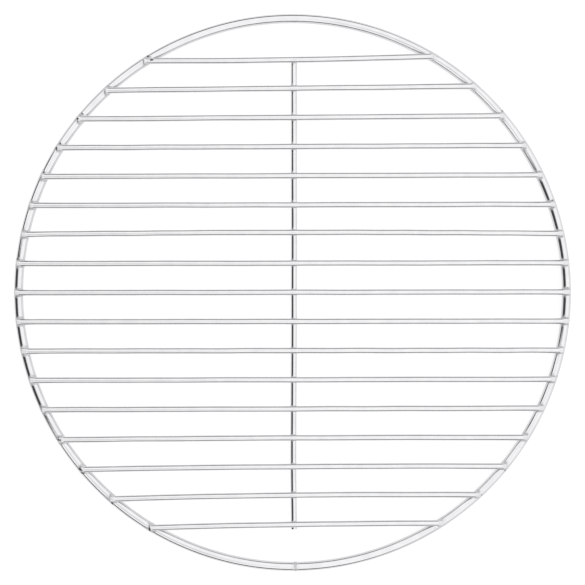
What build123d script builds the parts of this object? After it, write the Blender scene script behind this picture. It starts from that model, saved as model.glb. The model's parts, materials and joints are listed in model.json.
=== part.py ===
from build123d import *
from build123d.topology import SkipClean
import os
from math import atan2, degrees, sqrt

# Round cooling rack of plated steel wire, in millimetres, +Z up.
# The origin is the ring's centre on the plane that the rack rests on. X runs along the bars, Y across them.
# Bar 1 is the one furthest towards +Y.

# Wires
RING_OUTER_DIAMETER = 305.0
RING_WIRE = 5.0
BAR_WIRE = 3.3
ROD_WIRE = 3.3

# Layout
BAR_COUNT = 17
BAR_PITCH = 15.9
BAR_ROW_OFFSET = 0.1  # the row of bars sits this far towards +Y
ROD_OFFSET = 0.8  # the cross rod sits this far towards +X
BAR_END_INSET = 1.0  # from the ring's outer edge to the nearest corner of a bar's end
ROD_STUB = 1.4  # the rod's free end passes the last bar by this much
END_CHAMFER = 0.3

# Resistance welding presses each pair of crossing wires into one another by this much
BAR_SET_DOWN = 0.5
ROD_SET_DOWN = 0.4

# Metal squeezed out round each crossing, as a bevelled collar
WELD_RADIUS = 2.1
WELD_HEIGHT = 1.5
WELD_BEVEL = 0.45
CLOSING_WELD_LENGTH = 1.2  # along the ring, ground flush with the wire
CLOSING_WELD_ANGLE = -89.4  # where the ring is closed, counted from +X

# The bars of a real rack aren't quite parallel or straight
LEAN_MIDDLE = 0.0015  # slope of the middle bar, up towards +X
LEAN_OUTER = 0.0145  # added slope of the two outermost bars
LEAN_POWER = 3  # how sharply the added slope grows towards them
BAR_BOW = {1: -0.7, 7: 0.9, 14: 0.4, 15: 0.6, 16: 1.0, 17: 0.6}  # rise of the middle stretch, towards +Y
BAR_SHIFT = {1: 0.3, 14: -0.3, 15: -0.3, 16: -0.3}  # how far off the even pitch a bar sits, towards +Y
BEND_PLACE = 0.35  # a bowed bar's two gentle bends are this share of its length from its ends
BEND_RADIUS = 500.0

# The ring's surface is made of short stretches, because one long face with 34 saddles is hard to compute
RING_STRETCHES = 36
COLLAR_REACH = 8.0  # degrees of ring that a collar is fitted to

RING_RADIUS = (RING_OUTER_DIAMETER - RING_WIRE) / 2  # of the wire's centreline
BAR_Z = RING_WIRE - BAR_SET_DOWN + BAR_WIRE / 2
ROD_Z = BAR_Z - BAR_WIRE / 2 + ROD_SET_DOWN - ROD_WIRE / 2
BAR_NUMBERS = range(1, BAR_COUNT + 1)


def bar_line(number):
    """Point of a bar's chord above the Y axis, and the chord's direction."""
    half_count = (BAR_COUNT - 1) / 2
    place = half_count + 1 - number
    slope = LEAN_MIDDLE + LEAN_OUTER * abs(place / half_count) ** LEAN_POWER
    across = BAR_ROW_OFFSET + place * BAR_PITCH + BAR_SHIFT.get(number, 0)
    return Vector(0, across, BAR_Z), Vector(1, slope, 0).normalized()


def reach(point, direction, radius):
    """How far a line in plan runs from a point to a circle round the Z axis, backwards and forwards."""
    flat = Vector(point.X, point.Y, 0)
    nearest = -flat.dot(direction)
    half_chord = sqrt(nearest**2 - flat.dot(flat) + radius**2)
    return nearest - half_chord, nearest + half_chord


def bar_path(number):
    """Centreline of a bar. Its square ends stop where their outer corner nears the ring's outer edge."""
    middle, direction = bar_line(number)
    side = Vector(-direction.Y, direction.X, 0)
    corner_radius = RING_OUTER_DIAMETER / 2 - BAR_END_INSET
    spans = [reach(middle + side * edge, direction, corner_radius) for edge in (-BAR_WIRE / 2, BAR_WIRE / 2)]
    start = middle + direction * max(span[0] for span in spans)
    end = middle + direction * min(span[1] for span in spans)
    if number not in BAR_BOW:
        return Line(start, end)
    rise = side * BAR_BOW[number]
    first_bend = start + (end - start) * BEND_PLACE + rise
    second_bend = end + (start - end) * BEND_PLACE + rise
    return FilletPolyline(start, first_bend, second_bend, end, radius=BEND_RADIUS)


def wire(path, diameter):
    """Round wire along a path, with both cut ends chamfered."""
    section = Plane(path @ 0, z_dir=path % 0) * Circle(diameter / 2)
    rod = sweep(section, path=path)
    return chamfer(rod.faces().filter_by(GeomType.PLANE).edges(), END_CHAMFER)


def bar(number):
    return wire(bar_path(number), BAR_WIRE)


def ring_crossing(number, side):
    """Where a bar crosses the ring's centreline, on the -X side (0) or the +X side (1)."""
    middle, direction = bar_line(number)
    return middle + direction * reach(middle, direction, RING_RADIUS)[side]


def rod_crossing(number):
    """Where a bar crosses the cross rod."""
    path = bar_path(number)
    share = (ROD_OFFSET - (path @ 0).X) / ((path @ 1).X - (path @ 0).X)
    return path @ share


def hoop(start, arc):
    """Stretch of the ring's wire, from a start angle round through an arc, in degrees."""
    section = Plane.XZ * Pos(RING_RADIUS, RING_WIRE / 2) * Circle(RING_WIRE / 2)
    return Rot(0, 0, start) * revolve(section, Axis.Z, arc)


def saddled_ring(start, arc, bars):
    """The ring's wire, with a saddle under the end of each bar."""
    step = arc / RING_STRETCHES
    with SkipClean():
        stretches = [hoop(start + step * index, step) - bars for index in range(RING_STRETCHES)]
        return stretches[0].fuse(*stretches[1:])


def straight_rod():
    """The rod under the bars. It starts flush with bar 1 and passes the last bar."""
    first = rod_crossing(1).Y + BAR_WIRE / 2
    last = rod_crossing(BAR_COUNT).Y - BAR_WIRE / 2 - ROD_STUB
    return wire(Line((ROD_OFFSET, first, ROD_Z), (ROD_OFFSET, last, ROD_Z)), ROD_WIRE)


def weld_collar(place, height, bar_solid, carrier):
    """Metal squeezed out round one crossing, fitted round a bar and the wire that carries it."""
    disc = Cylinder(WELD_RADIUS, WELD_HEIGHT)
    disc = chamfer(disc.edges().filter_by(GeomType.CIRCLE), WELD_BEVEL)
    return Pos(place.X, place.Y, height) * disc - bar_solid - carrier


def ring_welds(side, bars):
    """The collars between the bars and one side of the ring."""
    height = RING_WIRE - BAR_SET_DOWN / 2
    collars = []
    for number, bar_solid in zip(BAR_NUMBERS, bars):
        place = ring_crossing(number, side)
        start = degrees(atan2(place.Y, place.X)) - COLLAR_REACH / 2
        collars.append(weld_collar(place, height, bar_solid, hoop(start, COLLAR_REACH)))
    return Compound(collars)


def rod_welds(bars, rod):
    """The collars between the bars and the rod."""
    height = ROD_Z + (ROD_WIRE - ROD_SET_DOWN) / 2
    return Compound(
        [weld_collar(rod_crossing(number), height, solid, rod) for number, solid in zip(BAR_NUMBERS, bars)]
    )


def save(node, shape):
    shape.label = node
    export_step(shape, f"parts/{node}.step")


def main():
    os.makedirs("parts", exist_ok=True)
    bars = [bar(number) for number in BAR_NUMBERS]
    for number, solid in zip(BAR_NUMBERS, bars):
        save(f"bar_{number:02d}", solid)

    weld_arc = degrees(CLOSING_WELD_LENGTH / RING_RADIUS)
    save("ring", saddled_ring(CLOSING_WELD_ANGLE + weld_arc / 2, 360 - weld_arc, bars))
    save("ring_closing_weld", hoop(CLOSING_WELD_ANGLE - weld_arc / 2, weld_arc))
    save("left_bar_welds", ring_welds(0, bars))
    save("right_bar_welds", ring_welds(1, bars))

    rod = straight_rod()
    save("cross_rod", rod - bars)
    save("rod_welds", rod_welds(bars, rod))


main()
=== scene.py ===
import json
import math

import bmesh
import bpy
import numpy as np
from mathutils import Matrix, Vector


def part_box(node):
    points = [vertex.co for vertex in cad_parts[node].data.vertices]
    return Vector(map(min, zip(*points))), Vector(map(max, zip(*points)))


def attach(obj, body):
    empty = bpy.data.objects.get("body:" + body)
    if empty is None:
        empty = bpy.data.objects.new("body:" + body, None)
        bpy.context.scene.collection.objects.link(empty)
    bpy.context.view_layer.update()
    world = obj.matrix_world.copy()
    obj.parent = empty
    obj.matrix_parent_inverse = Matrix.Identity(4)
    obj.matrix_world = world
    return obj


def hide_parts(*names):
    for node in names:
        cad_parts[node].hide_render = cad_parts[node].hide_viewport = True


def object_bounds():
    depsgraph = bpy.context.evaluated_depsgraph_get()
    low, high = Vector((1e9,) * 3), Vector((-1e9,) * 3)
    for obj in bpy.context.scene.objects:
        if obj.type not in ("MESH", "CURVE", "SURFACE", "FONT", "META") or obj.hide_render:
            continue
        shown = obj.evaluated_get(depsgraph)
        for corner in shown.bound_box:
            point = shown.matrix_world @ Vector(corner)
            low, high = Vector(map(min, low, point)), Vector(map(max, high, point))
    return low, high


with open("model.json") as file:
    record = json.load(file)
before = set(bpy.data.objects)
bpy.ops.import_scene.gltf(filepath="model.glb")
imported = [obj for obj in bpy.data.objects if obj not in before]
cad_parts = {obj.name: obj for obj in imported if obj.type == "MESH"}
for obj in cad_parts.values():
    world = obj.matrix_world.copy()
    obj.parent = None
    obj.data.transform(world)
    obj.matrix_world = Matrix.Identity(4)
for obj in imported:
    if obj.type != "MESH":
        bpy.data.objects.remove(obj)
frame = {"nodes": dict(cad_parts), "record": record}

cad_low, cad_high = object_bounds()
MM = 0.001

# ---------------------------------------------------------------- sizes and places, from the frame

SEED = 17
SIDES = 32  # points round a wire
END_ZONE = 1.0 * MM  # the CAD vertices this near a bar's tip make up its end

RING_LOW, RING_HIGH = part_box("ring")
RING_WIRE = (RING_HIGH.z - RING_LOW.z) / 2
RING_RADIUS = (RING_HIGH.x - RING_LOW.x) / 2 - RING_WIRE
RING_Z = RING_LOW.z + RING_WIRE

BAR_NODES = sorted(name for name in frame["nodes"] if name.startswith("bar_"))
BAR_LOW, BAR_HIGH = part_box(BAR_NODES[0])
BAR_WIRE = (BAR_HIGH.z - BAR_LOW.z) / 2

ROD_LOW, ROD_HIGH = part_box("cross_rod")
ROD_WIRE = (ROD_HIGH.x - ROD_LOW.x) / 2
ROD_X = (ROD_HIGH.x + ROD_LOW.x) / 2
ROD_Z = ROD_LOW.z + ROD_WIRE


def node_points(node):
    """All vertices of a CAD node, as an array."""
    mesh = frame["nodes"][node].data
    points = np.empty(len(mesh.vertices) * 3)
    mesh.vertices.foreach_get("co", points)
    return points.reshape(-1, 3)


def middle(points):
    """Middle of the points' box."""
    return (points.min(axis=0) + points.max(axis=0)) / 2


class Bar:
    """A bar's centreline, read from its CAD node: a chord with a gentle bow."""

    def __init__(self, node):
        points = node_points(node)
        x = points[:, 0]
        self.node = node
        self.start = middle(points[x < x.min() + END_ZONE])
        self.end = middle(points[x > x.max() - END_ZONE])
        self.start[0], self.end[0] = x.min(), x.max()
        self.length = np.linalg.norm(self.end - self.start)
        self.direction = (self.end - self.start) / self.length
        self.side = np.array((-self.direction[1], self.direction[0], 0.0))
        share = (x - self.start[0]) / (self.end[0] - self.start[0])
        between = points[(share > 0.3) & (share < 0.7)]
        chord_middle = (self.start + self.end) / 2
        self.bow = middle(between)[1] - chord_middle[1] if len(between) else 0.0

    def at(self, along):
        """Points on the centreline at distances along it."""
        share = along / self.length
        rise = self.bow * (1 - (2 * share - 1) ** 2)
        return self.start + np.outer(along, self.direction) + np.outer(rise, self.side)

    def ring_crossings(self):
        """Distances along the bar where it crosses the ring's centreline."""
        along = np.linspace(0, self.length, 4001)
        away = np.hypot(*self.at(along)[:, :2].T)
        inside = np.nonzero(away < RING_RADIUS)[0]
        return along[inside[0]], along[inside[-1]]

    def rod_crossing(self):
        """Distance along the bar where it crosses the cross rod."""
        return (ROD_X - self.start[0]) / self.direction[0]


BARS = [Bar(node) for node in BAR_NODES]


def crossing_points():
    """Every bar's two crossings with the ring: (bar, point, side) with side -1 or 1."""
    found = []
    for bar in BARS:
        points = bar.at(np.array(bar.ring_crossings()))
        found += [(bar, points[0], -1), (bar, points[1], 1)]
    return found


CROSSINGS = crossing_points()

# dark spots painted into the metal's colour beside the welds: bar, side, millimetres from the crossing towards +X and
# +Y, and the spot's size
DARK_SPOTS = (
    (1, -1, 4.2, 0.4, 0.8), (1, -1, 2.0, 2.8, 0.7), (1, -1, 4.2, 3.9, 0.5), (3, -1, -0.9, 0.2, 0.8),
    (3, -1, 1.5, 3.1, 0.7), (4, -1, -1.4, -0.3, 0.9), (4, -1, 0.6, 2.4, 0.6), (5, -1, 0.2, 2.6, 0.6),
    (8, -1, -0.9, 2.5, 0.7), (14, -1, -0.5, -0.1, 1.0), (15, -1, -0.9, -0.1, 1.1), (15, -1, 0.2, -2.1, 0.8),
    (16, -1, 0.6, -2.5, 0.8), (17, -1, -0.3, -0.8, 1.1), (3, 1, -0.3, 2.9, 0.5), (6, 1, -0.1, 2.3, 0.45),
    (12, 1, 2.3, 1.6, 0.4), (15, 1, -0.1, -2.6, 0.45), (16, 1, 1.7, -0.3, 0.4), (17, 1, -3.7, -3.5, 0.6),
)


def dark_spot_share(points):
    """How dark the painted spots make the metal at points: 1 in the middle of a spot, 0 away from all of them."""
    darkest = np.zeros(points.shape[:-1])
    for number, side, x, y, size in DARK_SPOTS:
        crossing = CROSSINGS[2 * (number - 1) + (side > 0)][1]
        away = points[..., :2] - crossing[:2] - np.array((x, y)) * MM
        bearing = np.arctan2(away[..., 1], away[..., 0])
        ragged = 1 + 0.35 * np.sin(2 * bearing + number) + 0.25 * np.sin(5 * bearing + 3 * x)
        distance = np.linalg.norm(away, axis=-1) / ragged
        darkest = np.maximum(darkest, hump(distance, 0.5 * size * MM, size * MM))
    return darkest


# ---------------------------------------------------------------- mesh building


def quads(first, second, third, fourth):
    """Faces from four equal arrays of corners."""
    return np.stack((first, second, third, fourth), axis=-1).reshape(-1, 4).tolist()


def face_outwards(mesh):
    """Turns every face of a closed mesh outwards."""
    body = bmesh.new()
    body.from_mesh(mesh)
    bmesh.ops.recalc_face_normals(body, faces=body.faces)
    body.to_mesh(mesh)
    body.free()


def make_object(name, vertices, faces, uvs=None, weld=None):
    """Smooth-shaded mesh object. uvs is one pair per face corner, weld one number per vertex."""
    mesh = bpy.data.meshes.new(name)
    mesh.from_pydata([tuple(v) for v in vertices], [], faces)
    if uvs is not None:
        layer = mesh.uv_layers.new(name="wire")
        layer.data.foreach_set("uv", np.asarray(uvs, float).ravel())
    if weld is not None:
        attribute = mesh.attributes.new("weld", "FLOAT", "POINT")
        attribute.data.foreach_set("value", np.asarray(weld, float))
    mesh.validate()
    face_outwards(mesh)
    mesh.shade_smooth()
    thing = bpy.data.objects.new(name, mesh)
    bpy.context.scene.collection.objects.link(thing)
    return thing


def tube(name, points, along, weld):
    """Closed skin over rows of points, shape (stations, sides, 3). along is each station's distance."""
    stations, sides, _ = points.shape
    index = np.arange(stations * sides).reshape(stations, sides)
    after = np.roll(index, -1, axis=1)
    faces = quads(index[:-1], index[1:], after[1:], after[:-1])
    girth = np.linalg.norm(points[stations // 2, 1] - points[stations // 2, 0])
    round_low = np.tile(np.arange(sides) * girth, (stations - 1, 1))
    round_high = round_low + girth
    low = np.repeat(along[:-1, None], sides, axis=1)
    high = np.repeat(along[1:, None], sides, axis=1)
    corners = ((low, round_low), (high, round_low), (high, round_high), (low, round_high))
    uvs = np.stack([np.stack(corner, axis=-1) for corner in corners], axis=2).reshape(-1, 2)
    faces += [index[0].tolist(), index[-1][::-1].tolist()]
    cap_uvs = [(along[0], 0.0)] * sides + [(along[-1], 0.0)] * sides
    marks = np.maximum(np.repeat(weld, sides), dark_spot_share(points).ravel())
    return make_object(name, points.reshape(-1, 3), faces, np.vstack((uvs, cap_uvs)), marks)


def wander(rng, along, size, shortest=25 * MM, longest=110 * MM):
    """Slow random waviness along a wire, about as large as size."""
    total = np.zeros_like(along)
    for _ in range(4):
        wavelength = rng.uniform(shortest, longest)
        total += rng.uniform(0.3, 0.6) * np.sin(2 * np.pi * (along / wavelength + rng.random()))
    return size * total


def hump(distance, flat, fade):
    """1 within flat of the middle, falling smoothly to 0 over fade."""
    share = np.clip((np.abs(distance) - flat) / fade, 0, 1)
    return 1 - share * share * (3 - 2 * share)


def squared(wave, power):
    """A sine or cosine pressed towards a square: power 1 leaves it alone, and less makes it squarer."""
    return np.sign(wave) * np.abs(wave) ** power


def wire_stations(length, dense_places, dense_reach=6 * MM, coarse=3.0 * MM, fine=0.3 * MM):
    """Distances along a wire, closer together near the given places."""
    lists = [np.linspace(0, length, max(2, int(length / coarse)))]
    for place in dense_places:
        low = max(place - dense_reach, 0)
        high = min(place + dense_reach, length)
        lists.append(np.arange(low, high, fine))
    along = np.unique(np.round(np.concatenate(lists), 7))
    keep = np.concatenate(([True], np.diff(along) > fine / 3))
    return along[keep]


def cut_wire(name, path, radius, along, section, weld, rng, edge=0.15 * MM):
    """A wire with two sheared ends. path(along) gives centres, and section(along, angle) its two offsets."""
    length = along[-1]
    inner = along[(along > edge) & (along < length - edge)]
    turn = np.linspace(0, math.pi / 2, 5)
    near = edge * (1 - np.sin(turn))
    near_scale = 1 - edge / radius * (1 - np.cos(turn))
    face_scale = np.array((0.06, 0.35, 0.65))
    stations = np.concatenate((np.zeros(3), near[::-1], inner, length - near, np.full(3, length)))
    scale = np.concatenate((face_scale, near_scale[::-1], np.ones(len(inner)), near_scale, face_scale[::-1]))
    angle = np.linspace(0, 2 * np.pi, SIDES, endpoint=False)
    across, up = section(stations, angle)
    centres = path(stations)
    tangent = np.gradient(path(np.linspace(0, length, 200)), axis=0)[100]
    tangent /= np.linalg.norm(tangent)
    side = np.array((-tangent[1], tangent[0], 0.0))
    across, up = across * scale[:, None], up * scale[:, None]
    points = centres[:, None, :] + across[..., None] * side + up[..., None] * np.array((0.0, 0.0, 1.0))
    # a sheared end is a little slanted and a little domed
    for place, sign in ((0.0, 1), (length, -1)):
        near_end = hump(stations - place, 0.0, 2.5 * radius)[:, None]
        slant = rng.uniform(-0.06, 0.06) * across + rng.uniform(0.0, 0.10) * up
        points += sign * (near_end * np.abs(slant))[..., None] * tangent
    return tube(name, points, stations, weld(stations))


# ---------------------------------------------------------------- materials


def node_tree(material):
    """A material's node tree and its Principled shader."""
    material.use_nodes = True
    tree = material.node_tree
    return tree, tree.nodes["Principled BSDF"]


def add(tree, kind, **settings):
    """New node, with settings for its inputs or its own properties."""
    node = tree.nodes.new(kind)
    for key, value in settings.items():
        if key in node.inputs:
            node.inputs[key].default_value = value
        else:
            setattr(node, key, value)
    return node


def record_colour(slot):
    """Base colour that the part's record gives a material slot."""
    for material in frame["record"]["materials"]:
        if material["slot"] == slot:
            return tuple(material["base_color"][:3])
    raise ValueError(slot)


REFLECTANCE = 0.83  # bright plating reflects a little less than its recorded colour
WELD_DULLNESS = 0.85  # roughness gained where "weld" is 1
DARKEST_SPOT = 0.90  # how far the middle of a painted dark spot goes towards the near-black spot colour


def plated_metal(name, slot, polish, lump, draw_lines):
    """Bright plating. polish is its lowest and highest roughness, lump the depth of its orange peel."""
    material = bpy.data.materials.new(name)
    tree, shader = node_tree(material)
    link = tree.links.new
    shader.inputs["Metallic"].default_value = 1.0

    place = add(tree, "ShaderNodeTexCoord")
    weld = add(tree, "ShaderNodeAttribute", attribute_name="weld")

    # colour: a trace of variation in the plating, and painted dark spots where "weld" is above a half
    red, green, blue = (REFLECTANCE * part for part in record_colour(slot))
    clouds = add(tree, "ShaderNodeTexNoise", Scale=140.0, Detail=4.0, Roughness=0.6)
    link(place.outputs["Object"], clouds.inputs["Vector"])
    tint = add(tree, "ShaderNodeValToRGB")
    tint.color_ramp.elements[0].position = 0.35
    tint.color_ramp.elements[0].color = (red * 0.955, green * 0.955, blue * 0.965, 1)
    tint.color_ramp.elements[1].position = 0.65
    tint.color_ramp.elements[1].color = (red * 1.02, green * 1.02, blue * 1.02, 1)
    link(clouds.outputs["Fac"], tint.inputs["Fac"])
    # the painted dark spots: only "weld" above a half darkens the colour, towards near-black
    spot_darkness = add(tree, "ShaderNodeMapRange")
    spot_darkness.inputs["From Min"].default_value = 0.5
    spot_darkness.inputs["To Max"].default_value = DARKEST_SPOT
    link(weld.outputs["Fac"], spot_darkness.inputs["Value"])
    spotted = add(tree, "ShaderNodeMix", data_type="RGBA", blend_type="MULTIPLY")
    spotted.inputs["B"].default_value = (0.09, 0.085, 0.08, 1)
    link(spot_darkness.outputs["Result"], spotted.inputs["Factor"])
    link(tint.outputs["Color"], spotted.inputs["A"])
    link(spotted.outputs["Result"], shader.inputs["Base Color"])

    # gloss: patchy polish, dull round the welds
    patches = add(tree, "ShaderNodeTexNoise", Scale=420.0, Detail=3.0, Roughness=0.55)
    link(place.outputs["Object"], patches.inputs["Vector"])
    gloss = add(tree, "ShaderNodeMapRange")
    gloss.inputs["From Min"].default_value = 0.3
    gloss.inputs["From Max"].default_value = 0.7
    gloss.inputs["To Min"].default_value = polish[0]
    gloss.inputs["To Max"].default_value = polish[1]
    link(patches.outputs["Fac"], gloss.inputs["Value"])
    dulled = add(tree, "ShaderNodeMath", operation="MULTIPLY_ADD")
    dulled.inputs[1].default_value = WELD_DULLNESS
    link(weld.outputs["Fac"], dulled.inputs[0])
    link(gloss.outputs["Result"], dulled.inputs[2])
    link(dulled.outputs["Value"], shader.inputs["Roughness"])

    # relief: orange peel everywhere, and fine draw lines along a wire
    peel = add(tree, "ShaderNodeTexNoise", Scale=900.0, Detail=2.0, Roughness=0.5)
    link(place.outputs["Object"], peel.inputs["Vector"])
    relief = add(tree, "ShaderNodeBump", Strength=1.0, Distance=lump)
    link(peel.outputs["Fac"], relief.inputs["Height"])
    if draw_lines:
        stretch = add(tree, "ShaderNodeMapping")
        stretch.inputs["Scale"].default_value = (30.0, 9000.0, 1.0)
        link(place.outputs["UV"], stretch.inputs["Vector"])
        lines = add(tree, "ShaderNodeTexNoise", Scale=1.0, Detail=3.0, Roughness=0.6)
        link(stretch.outputs["Vector"], lines.inputs["Vector"])
        grooves = add(tree, "ShaderNodeBump", Strength=1.0, Distance=draw_lines)
        link(lines.outputs["Fac"], grooves.inputs["Height"])
        link(relief.outputs["Normal"], grooves.inputs["Normal"])
        relief = grooves
    link(relief.outputs["Normal"], shader.inputs["Normal"])
    return material


CHROME = plated_metal("chrome_wire", "chrome_wire", polish=(0.045, 0.10), lump=0.004 * MM, draw_lines=0.0006 * MM)
WELD = plated_metal("plated_weld", "plated_weld", polish=(0.12, 0.26), lump=0.03 * MM, draw_lines=0)


def finish_piece(piece, material, slot, *nodes):
    """Gives a piece its material and its place on the CAD body, standing for its CAD nodes."""
    piece.data.materials.append(material)
    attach(piece, "root")
    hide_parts(*nodes)


# ---------------------------------------------------------------- the wires

CRUSH_SPREAD = 0.03  # how much wider a bar is where the welder crushed it on the ring
CRUSH_FADE = 1.4 * MM  # the length over which a bar goes from round to crushed
CRUSH_FLAT = 0.45  # how square its section is there
CRUSH_DULL = 0.40  # how dull its plating is there
WANDER_TICKS = 600  # places along a wire where its waviness is worked out
SWAY = 0.05 * MM  # waviness sideways, and up and down
LIFT = 0.025 * MM
BAR_SINK = 0.06 * MM  # keeps a wavy bar's top under the top of its CAD bar
ROD_FLAT = 0.12  # how square the cross rod's top is under a bar
ROD_BOW = 0.34 * MM  # the cross rod isn't quite straight: one stretch of it bows this far towards -X
ROD_BOW_PLACE = -0.078  # that stretch's middle, as a Y coordinate
ROD_BOW_REACH = 0.065  # and how far it reaches either side
ROD_CRUSH = 0.12  # the same marks over the cross rod, as a share of those on the ring


def build_bar(bar, rng):
    """One bar, crushed a little square where it was welded to the ring."""
    left, right = bar.ring_crossings()
    rod = bar.rod_crossing()
    along = wire_stations(bar.length, (0, left, rod, right, bar.length))
    force = {left: rng.uniform(0.7, 1.0), right: rng.uniform(0.7, 1.0)}
    reach = {left: rng.uniform(-0.5, 1.5) * MM, right: rng.uniform(0.5, 1.7) * MM}  # inwards from the crossing
    ticks = np.linspace(0, bar.length, WANDER_TICKS)
    sway = wander(rng, ticks, SWAY)
    lift = wander(rng, ticks, LIFT)

    def over_ring(stations, place):
        """1 from about the crossing out to the bar's end, 0 further in."""
        inwards = (place - stations) * np.sign(place - bar.length / 2)
        return hump(np.maximum(inwards - reach[place], 0), 0, CRUSH_FADE)

    def crush(stations):
        total = ROD_CRUSH * hump(stations - rod, 0.6 * MM, 1.8 * MM)
        for place in (left, right):
            total = np.maximum(total, force[place] * over_ring(stations, place))
        return total

    def path(stations):
        centres = bar.at(stations)
        centres[:, 1] += np.interp(stations, ticks, sway)
        centres[:, 2] += np.interp(stations, ticks, lift) - BAR_SINK
        return centres

    def section(stations, angle):
        pressed = crush(stations)[:, None]
        power = 1 - CRUSH_FLAT * pressed
        across = squared(np.cos(angle)[None, :], power)
        up = squared(np.sin(angle)[None, :], power)
        return BAR_WIRE * (1 + CRUSH_SPREAD * pressed) * across, BAR_WIRE * up

    def weld(stations):
        dull = 0.2 * hump(stations - rod, 1.0 * MM, 1.5 * MM)
        for place in (left, right):
            dull = np.maximum(dull, CRUSH_DULL * over_ring(stations, place))
        return dull

    piece = cut_wire(bar.node + "_wire", path, BAR_WIRE, along, section, weld, rng)
    finish_piece(piece, CHROME, "chrome_wire", bar.node)


def rod_bow(y):
    """How far the cross rod strays from its straight line towards +X."""
    return -ROD_BOW * hump(y - ROD_BOW_PLACE, 0, ROD_BOW_REACH)


def build_rod(rng):
    """The rod under the bars."""
    length = ROD_HIGH.y - ROD_LOW.y
    crossings = [bar.at(np.array([bar.rod_crossing()]))[0][1] - ROD_LOW.y for bar in BARS]
    along = wire_stations(length, [0, length, *crossings], dense_reach=3 * MM, fine=0.4 * MM)
    ticks = np.linspace(0, length, WANDER_TICKS)
    sway = wander(rng, ticks, SWAY)

    def path(stations):
        centres = np.empty((len(stations), 3))
        centres[:, 0] = ROD_X + rod_bow(ROD_LOW.y + stations) + np.interp(stations, ticks, sway)
        centres[:, 1] = ROD_LOW.y + stations
        centres[:, 2] = ROD_Z
        return centres

    def section(stations, angle):
        near = np.max([hump(stations - place, BAR_WIRE, 1.1 * MM) for place in crossings], axis=0)
        power = 1 - ROD_FLAT * near[:, None]
        sine = np.sin(angle)[None, :]
        across = squared(np.cos(angle)[None, :], power)
        up = squared(sine, np.where(sine > 0, power, 1))
        return ROD_WIRE * across, ROD_WIRE * up

    def weld(stations):
        return 0.3 * np.max([hump(stations - place, 1.2 * MM, 1.5 * MM) for place in crossings], axis=0)

    piece = cut_wire("cross_rod_wire", path, ROD_WIRE, along, section, weld, rng)
    finish_piece(piece, CHROME, "chrome_wire", "cross_rod")


INSET_MEAN = 0.066 * MM  # just enough to keep a wavy ring inside its CAD ring
INSET_WAVE = 0.018 * MM
INSET_RNG = np.random.default_rng(SEED + 200)
# waves round the ring: how many, phase and weight
INSET_WAVES = [
    (int(INSET_RNG.integers(3, 16)), INSET_RNG.uniform(0, 6.28), INSET_RNG.uniform(0.4, 1)) for _ in range(5)
]


def ring_inset(theta):
    """How far the ring's centreline wanders in from its true circle."""
    waves = sum(weight * np.sin(count * theta + phase) for count, phase, weight in INSET_WAVES)
    return INSET_MEAN + INSET_WAVE * waves


def closing_seam():
    """Bearing of the ring's closing weld, and half of the angle that it takes up."""
    low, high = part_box("ring_closing_weld")
    centre = middle(node_points("ring_closing_weld"))
    return math.atan2(centre[1], centre[0]), (high.x - low.x) / 2 / RING_RADIUS


def build_ring():
    """The ring, open by the length of its closing weld."""
    seam, gap = closing_seam()
    angles = [math.atan2(point[1], point[0]) for _, point, _ in CROSSINGS]
    first, last = seam + gap, seam + 2 * math.pi - gap
    turns = np.array([(angle - seam) % (2 * math.pi) + seam for angle in angles])
    lists = [np.linspace(first, last, 400)]
    lists += [np.arange(turn - 0.03, turn + 0.03, 0.0025) for turn in turns]
    theta = np.unique(np.round(np.concatenate(lists), 6))
    theta = theta[(theta >= first) & (theta <= last)]
    theta = theta[np.concatenate(([True], np.diff(theta) > 0.0008))]
    theta = theta[(theta > first + 0.002) & (theta < last - 0.002)]
    theta = np.concatenate(([first, first + 0.0003], theta, [last - 0.0003, last]))

    along = (theta - first) * RING_RADIUS
    inset = ring_inset(theta)
    pressed = np.max([hump((theta - turn) * RING_RADIUS, 0.9 * MM, 1.8 * MM) for turn in turns], axis=0)

    angle = np.linspace(0, 2 * np.pi, SIDES, endpoint=False)
    across = RING_WIRE * np.cos(angle)[None, :] + 0 * theta[:, None]
    up = RING_WIRE * np.sin(angle)[None, :] + 0 * theta[:, None]
    # the lower electrode leaves a small flat under each crossing
    floor = -RING_WIRE + 0.16 * MM * pressed[:, None]
    up = np.maximum(up, floor)
    radius = RING_RADIUS - inset[:, None] + across
    points = np.stack((radius * np.cos(theta)[:, None], radius * np.sin(theta)[:, None], RING_Z + up), axis=-1)
    near = np.max([hump((theta - turn) * RING_RADIUS, 2.0 * MM, 2.0 * MM) for turn in turns], axis=0)
    seam_dull = hump(along, 0.8 * MM, 1.5 * MM) + hump(along - along[-1], 0.8 * MM, 1.5 * MM)
    piece = tube("ring_wire", points, along, 0.35 * np.maximum(near, seam_dull))
    finish_piece(piece, CHROME, "chrome_wire", "ring")


def build_closing_weld(rng):
    """The ground weld that closes the ring, standing just proud of it."""
    seam, gap = closing_seam()
    half = gap + 0.5 * MM / RING_RADIUS  # it runs a little way into both ends of the wire
    theta = np.linspace(seam - half, seam + half, 22)
    share = (theta - seam) / half
    angle = np.linspace(0, 2 * np.pi, SIDES, endpoint=False)
    swell = -0.03 * MM + 0.05 * MM * (1 - share[:, None] ** 2)
    lumps = 0.012 * MM * np.sin(3 * angle + 1.3)[None, :] * (1 - share[:, None] ** 2)
    rough = rng.normal(0, 0.002 * MM, (len(theta), SIDES))
    radius = RING_WIRE + swell + lumps + rough
    reach = RING_RADIUS - ring_inset(theta)[:, None] + radius * np.cos(angle)
    up = np.maximum(RING_Z + radius * np.sin(angle), cad_low.z)
    points = np.stack((reach * np.cos(theta)[:, None], reach * np.sin(theta)[:, None], up), axis=-1)
    piece = tube("ring_closing_seam", points, (theta - theta[0]) * RING_RADIUS, np.full(len(theta), 0.45))
    finish_piece(piece, WELD, "plated_weld", "ring_closing_weld")


# ---------------------------------------------------------------- the welds

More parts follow.
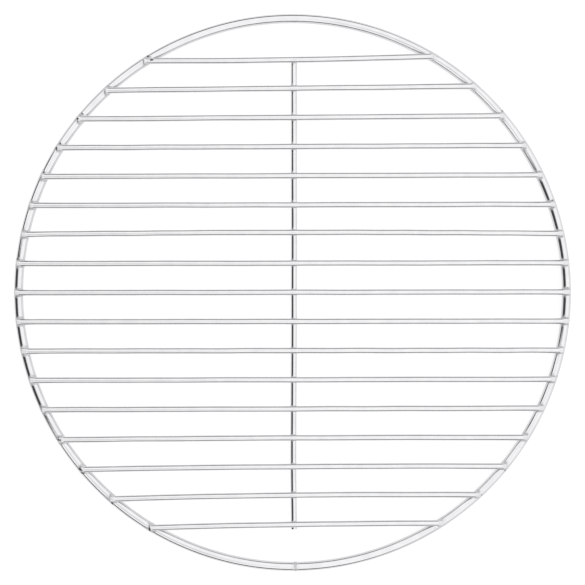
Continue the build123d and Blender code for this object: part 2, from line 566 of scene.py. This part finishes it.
FILLET_SPOTS = 35  # grid points of a fillet, along the carrying wire and round it
FILLET_TURNS = 21
FILLET_ARC = math.radians(84)  # how far round the carrying wire from its crown a fillet's grid goes
SKIN = 0.05 * MM  # where there's no fillet, its grid lies this deep inside the wire


def as_points(x, y, z):
    return np.stack(np.broadcast_arrays(x, y, z), axis=-1)


def ring_skin(turn):
    """Maps distance along the ring from a bearing, angle from the wire's crown outwards and radius to a point."""

    def place(along, round_angle, radius):
        theta = turn + along / RING_RADIUS
        out = RING_RADIUS - ring_inset(theta) + radius * np.sin(round_angle)
        return as_points(out * np.cos(theta), out * np.sin(theta), RING_Z + radius * np.cos(round_angle))

    return place


def rod_skin(y):
    """The same for the cross rod."""

    def place(along, round_angle, radius):
        x = ROD_X + rod_bow(y + along) + radius * np.sin(round_angle)
        return as_points(x, y + along, ROD_Z + radius * np.cos(round_angle))

    return place


def ripple(rng, first, second, size):
    """Smooth lumps over two surface coordinates, about as high as size."""
    total = np.zeros(np.broadcast(first, second).shape)
    for _ in range(6):
        pitch = rng.uniform(1.4, 3.2) * MM
        heading = rng.uniform(0, math.pi)
        phase = rng.uniform(0, 2 * math.pi)
        total += np.sin(2 * math.pi * (first * math.cos(heading) + second * math.sin(heading)) / pitch + phase)
    return size * total / 2.4


def fillet(rng, skin, wire, bar, point, outward, tip, half_width, lip, height, limits=(-1, 1)):
    """Squeezed-out metal between a bar and the wire that carries it, as one closed skin. Returns vertices and faces.

    skin maps surface coordinates to points, wire is the carrying wire's radius, outward is the direction along the
    bar that its near end lies in and tip the distance to it. lip is how far the metal reaches from the bar's side,
    and limits are where the carrying wire ends, as distances from the crossing.
    """
    span = half_width + 2.2 * lip
    along = np.linspace(max(-span, limits[0]), min(span, limits[1]), FILLET_SPOTS)[:, None]
    turn = np.linspace(-FILLET_ARC, FILLET_ARC, FILLET_TURNS)[None, :]
    surface = skin(along, turn, wire)
    offset = surface[..., :2] - point[:2]
    across = np.abs(offset @ bar.side[:2])
    forward = offset @ bar.direction[:2] * outward
    sideways = np.sign(offset @ bar.side[:2])
    reach = lip * (1 + 0.30 * np.sin(forward / (0.9 * MM) + rng.uniform(0, 6)) * rng.uniform(0.4, 1))
    reach = reach * np.where(sideways > 0, rng.uniform(0.7, 1.25), rng.uniform(0.7, 1.25))
    gap = np.hypot(np.maximum(across - half_width, 0), 1.6 * np.maximum(forward - tip, 0))
    slope = np.clip(1 - gap / reach, 0, 1)
    flank = hump(turn, math.radians(36), math.radians(38))
    lumps = ripple(rng, along, wire * turn, 0.05 * MM)
    rise = (height * slope**1.5 + lumps * slope) * flank - SKIN * (1 - slope)
    upper = skin(along, turn, wire + rise)
    lower = skin(along, turn * 0.6, 0.5 * wire)
    vertices = np.concatenate((upper.reshape(-1, 3), lower.reshape(-1, 3)))
    index = np.arange(FILLET_SPOTS * FILLET_TURNS).reshape(FILLET_SPOTS, FILLET_TURNS)
    under = index + index.size
    faces = quads(index[:-1, :-1], index[1:, :-1], index[1:, 1:], index[:-1, 1:])
    faces += quads(under[:-1, :-1], under[:-1, 1:], under[1:, 1:], under[1:, :-1])
    edge = np.concatenate((index[0, :], index[1:, -1], index[-1, -2::-1], index[-2:0:-1, 0]))
    rim = edge + index.size
    after, rim_after = np.roll(edge, -1), np.roll(rim, -1)
    faces += quads(edge, after, rim_after, rim)
    return vertices, faces, np.maximum(0.3, dark_spot_share(vertices))


def bead(rng, centre, size, burn):
    """Small drop of expelled metal, squashed and lumpy. Returns vertices and faces."""
    rows, columns = 9, 16
    fall = np.linspace(0, math.pi, rows + 2)[1:-1, None]
    turn = np.linspace(0, 2 * np.pi, columns, endpoint=False)[None, :]
    stretch = rng.uniform(0.8, 1.3, 3) * size
    stretch[2] *= 0.8
    phases = rng.uniform(0, 2 * math.pi, 3)
    lumps = 1 + 0.10 * np.sin(2 * turn + phases[0]) * np.sin(fall) + 0.08 * np.sin(3 * turn + phases[1] + 2 * fall)
    x = np.sin(fall) * np.cos(turn) * lumps * stretch[0]
    y = np.sin(fall) * np.sin(turn) * lumps * stretch[1]
    z = np.cos(fall) * lumps * stretch[2]
    vertices = np.stack((x, y, z), axis=-1).reshape(-1, 3)
    vertices = np.vstack((vertices, (0, 0, stretch[2]), (0, 0, -stretch[2]))) + centre
    index = np.arange(rows * columns).reshape(rows, columns)
    after = np.roll(index, -1, axis=1)
    faces = quads(index[:-1], index[1:], after[1:], after[:-1])
    top, bottom = rows * columns, rows * columns + 1
    faces += [[top, int(index[0, i]), int(after[0, i])] for i in range(columns)]
    faces += [[bottom, int(after[-1, i]), int(index[-1, i])] for i in range(columns)]
    return vertices, faces, np.full(len(vertices), burn)


def join_lumps(name, lumps, *nodes):
    """One piece from many closed skins."""
    vertices, faces, welds = [], [], []
    count = 0
    for lump_vertices, lump_faces, lump_weld in lumps:
        vertices.append(lump_vertices)
        welds.append(lump_weld)
        faces += [[corner + count for corner in face] for face in lump_faces]
        count += len(lump_vertices)
    piece = make_object(name, np.vstack(vertices), faces, weld=np.concatenate(welds))
    finish_piece(piece, WELD, "plated_weld", *nodes)


def spatter(rng, skin, wire, half_width, amount, size, burn):
    """Drops beside a crossing, on the carrying wire's shoulders."""
    drops = []
    for _ in range(amount):
        along = rng.choice((-1, 1)) * (half_width + rng.uniform(0.1, 0.7) * MM)
        round_angle = rng.uniform(-0.75, 0.75)
        radius = rng.uniform(0.75, 1.2) * size
        centre = skin(np.array(along), np.array(round_angle), wire + 0.1 * radius)
        drops.append(bead(rng, centre, radius, rng.uniform(0.7, 1.0) * burn))
    return drops


def build_ring_welds(rng):
    sides = (
        (-1, "left_weld_flash", "left_bar_welds", (0.7, 1.3)),
        (1, "right_weld_flash", "right_bar_welds", (0.45, 0.8)),
    )
    for wanted, name, node, lips in sides:
        lumps = []
        for bar, point, side in CROSSINGS:
            if side != wanted:
                continue
            skin = ring_skin(math.atan2(point[1], point[0]))
            end = bar.start if side < 0 else bar.end
            tip = np.linalg.norm(end - point)
            half_width = BAR_WIRE * (1 + 0.6 * CRUSH_SPREAD)
            lumps.append(
                fillet(
                    rng, skin, RING_WIRE, bar, point, side, tip, half_width,
                    lip=rng.uniform(*lips) * MM, height=rng.uniform(0.35, 0.6) * MM,
                )
            )
            lumps += spatter(rng, skin, RING_WIRE, half_width, int(rng.integers(0, 3)), 0.34 * MM, 0.5)
        join_lumps(name, lumps, node)


def build_rod_welds(rng):
    lumps = []
    for bar in BARS:
        point = bar.at(np.array([bar.rod_crossing()]))[0]
        lumps.append(
            fillet(
                rng, rod_skin(point[1]), ROD_WIRE, bar, point, 1, bar.length, BAR_WIRE * 0.96,
                lip=rng.uniform(0.12, 0.26) * MM, height=rng.uniform(0.15, 0.3) * MM,
                limits=(ROD_LOW.y + 0.4 * MM - point[1], ROD_HIGH.y - 0.4 * MM - point[1]),
            )
        )
    join_lumps("rod_weld_flash", lumps, "rod_welds")


# ---------------------------------------------------------------- floor, light and camera

FLOOR_SIZE = 12.0
FLOOR_COLOUR = (0.22, 0.22, 0.22, 1)
FLOOR_GLOW = 0.84  # the floor is a light table, so the object throws no shadow on it
SKY = 1.37  # radiance of the soft light overhead
UNLIT = 0.080  # radiance of what isn't lit
GAP_LOW, GAP_HIGH = 0.26, 0.56  # sines of the elevations where the unlit band round the room starts and stops fading
GAP_EVERYWHERE = 0.22  # how dark that band is all round
GAP_LOBES = ((100, 5.0, 0.80), (250, 4.0, 1.30), (190, 3.0, 0.60))  # more of it at some bearings: sharpness, darkness
SHADE_CENTRE = (-0.16, -0.21)  # a soft shade overhead, where the camera and its stand are
SHADE_SIZE = (0.13, 0.30)
SHADE_EDGE = 1.6  # how many times that size it takes to fade out
SHADE_DEPTH = 0.42
WALL_BEARINGS = (189.5, 14.0, 24.0)  # an unlit wall: its middle, and how far either side it starts and stops fading
WALL_TOP = (0.915, 0.968)  # sines of the elevations where its top fades
LOW_WALL_BEARINGS = (170.0, 18.0, 24.0)  # a lower one beside it
LOW_WALL_TOP = (0.47, 0.62)
CAMERA_HEIGHT = 1.04
CAMERA_LENS = 116.62


def build_floor():
    bpy.ops.mesh.primitive_plane_add(size=FLOOR_SIZE, location=(0, 0, cad_low.z - 0.02 * MM))
    floor = bpy.context.object
    floor.name = "floor"
    material = bpy.data.materials.new("pale_floor")
    _, shader = node_tree(material)
    shader.inputs["Base Color"].default_value = FLOOR_COLOUR
    shader.inputs["Roughness"].default_value = 1.0
    shader.inputs["Specular IOR Level"].default_value = 0.0
    shader.inputs["Emission Color"].default_value = (1, 1, 1, 1)
    shader.inputs["Emission Strength"].default_value = FLOOR_GLOW
    floor.data.materials.append(material)


def facing(tree, bearing, degrees):
    """Cosine of the angle in plan between a direction and a bearing."""
    turn = math.radians(degrees)
    node = add(tree, "ShaderNodeVectorMath", operation="DOT_PRODUCT")
    node.inputs[1].default_value = (math.cos(turn), math.sin(turn), 0)
    tree.links.new(bearing.outputs["Vector"], node.inputs[0])
    return node.outputs["Value"]


def blend(tree, value, low, high, at_low, at_high):
    """Goes smoothly from at_low to at_high as value goes from low to high."""
    node = add(tree, "ShaderNodeMapRange", interpolation_type="SMOOTHSTEP")
    limits = {"From Min": low, "From Max": high, "To Min": at_low, "To Max": at_high}
    for name, limit in limits.items():
        node.inputs[name].default_value = limit
    tree.links.new(value, node.inputs["Value"])
    return node.outputs["Result"]


def build_light():
    """A soft sky with a darker band above the horizon, two unlit walls towards -X, and a soft shade overhead."""
    world = bpy.data.worlds.new("studio")
    bpy.context.scene.world = world
    world.use_nodes = True
    tree = world.node_tree
    link = tree.links.new
    background = tree.nodes["Background"]
    place = add(tree, "ShaderNodeTexCoord")
    parts = add(tree, "ShaderNodeSeparateXYZ")
    link(place.outputs["Generated"], parts.inputs["Vector"])

    band = blend(tree, parts.outputs["Z"], GAP_LOW, GAP_HIGH, 1.0, 0.0)

    flat = add(tree, "ShaderNodeVectorMath", operation="MULTIPLY")
    flat.inputs[1].default_value = (1, 1, 0)
    link(place.outputs["Generated"], flat.inputs[0])
    bearing = add(tree, "ShaderNodeVectorMath", operation="NORMALIZE")
    link(flat.outputs["Vector"], bearing.inputs[0])
    depth = None
    for degrees, sharpness, darkness in GAP_LOBES:
        front = add(tree, "ShaderNodeMath", operation="MAXIMUM")
        front.inputs[1].default_value = 0.0
        link(facing(tree, bearing, degrees), front.inputs[0])
        lobe = add(tree, "ShaderNodeMath", operation="POWER")
        lobe.inputs[1].default_value = sharpness
        link(front.outputs["Value"], lobe.inputs[0])
        total = add(tree, "ShaderNodeMath", operation="MULTIPLY_ADD")
        total.inputs[1].default_value = darkness
        total.inputs[2].default_value = GAP_EVERYWHERE
        link(lobe.outputs["Value"], total.inputs[0])
        if depth is not None:
            link(depth.outputs["Value"], total.inputs[2])
        depth = total
    lost = add(tree, "ShaderNodeMath", operation="MULTIPLY")
    link(depth.outputs["Value"], lost.inputs[0])
    link(band, lost.inputs[1])
    for (degrees, full, none), (top_low, top_high) in (
        (WALL_BEARINGS, WALL_TOP),
        (LOW_WALL_BEARINGS, LOW_WALL_TOP),
    ):
        edges = math.cos(math.radians(none)), math.cos(math.radians(full))
        wall = add(tree, "ShaderNodeMath", operation="MULTIPLY")
        link(blend(tree, facing(tree, bearing, degrees), *edges, 0.0, 1.0), wall.inputs[0])
        link(blend(tree, parts.outputs["Z"], top_low, top_high, 1.0, 0.0), wall.inputs[1])
        darker = add(tree, "ShaderNodeMath", operation="MAXIMUM")
        link(lost.outputs["Value"], darker.inputs[0])
        link(wall.outputs["Value"], darker.inputs[1])
        lost = darker
    left = add(tree, "ShaderNodeMath", operation="MULTIPLY_ADD")
    left.inputs[1].default_value = -SKY
    left.inputs[2].default_value = SKY
    link(lost.outputs["Value"], left.inputs[0])
    bright = add(tree, "ShaderNodeMath", operation="MAXIMUM")
    bright.inputs[1].default_value = UNLIT
    link(left.outputs["Value"], bright.inputs[0])

    offset = add(tree, "ShaderNodeVectorMath", operation="SUBTRACT")
    offset.inputs[1].default_value = (*SHADE_CENTRE, 0)
    link(flat.outputs["Vector"], offset.inputs[0])
    scaled = add(tree, "ShaderNodeVectorMath", operation="DIVIDE")
    scaled.inputs[1].default_value = (*SHADE_SIZE, 1)
    link(offset.outputs["Vector"], scaled.inputs[0])
    away = add(tree, "ShaderNodeVectorMath", operation="LENGTH")
    link(scaled.outputs["Vector"], away.inputs[0])
    light = add(tree, "ShaderNodeMath", operation="MULTIPLY")
    link(bright.outputs["Value"], light.inputs[0])
    link(blend(tree, away.outputs["Value"], 0.0, SHADE_EDGE, 1 - SHADE_DEPTH, 1.0), light.inputs[1])

    # the camera sees a plain pale backdrop
    path = add(tree, "ShaderNodeLightPath")
    shown = add(tree, "ShaderNodeMix", data_type="FLOAT")
    shown.inputs["B"].default_value = SKY
    link(path.outputs["Is Camera Ray"], shown.inputs["Factor"])
    link(light.outputs["Value"], shown.inputs["A"])
    background.inputs["Color"].default_value = (1, 1, 1, 1)
    link(shown.outputs["Result"], background.inputs["Strength"])


def build_camera():
    """Straight above the ring's centre, with +Y at the top of the picture."""
    data = bpy.data.cameras.new("camera")
    data.lens = CAMERA_LENS
    data.sensor_width = 36.0
    data.clip_start, data.clip_end = 0.01, 50.0
    camera = bpy.data.objects.new("camera", data)
    bpy.context.scene.collection.objects.link(camera)
    camera.location = (0, 0, CAMERA_HEIGHT)
    bpy.context.scene.camera = camera


def main():
    for number, bar in enumerate(BARS, start=1):
        build_bar(bar, np.random.default_rng(SEED + number))
    build_rod(np.random.default_rng(SEED + 100))
    build_ring()
    build_closing_weld(np.random.default_rng(SEED + 300))
    build_ring_welds(np.random.default_rng(SEED + 400))
    build_rod_welds(np.random.default_rng(SEED + 500))
    build_floor()
    build_light()
    build_camera()
    bpy.context.scene.view_settings.view_transform = "Standard"


main()
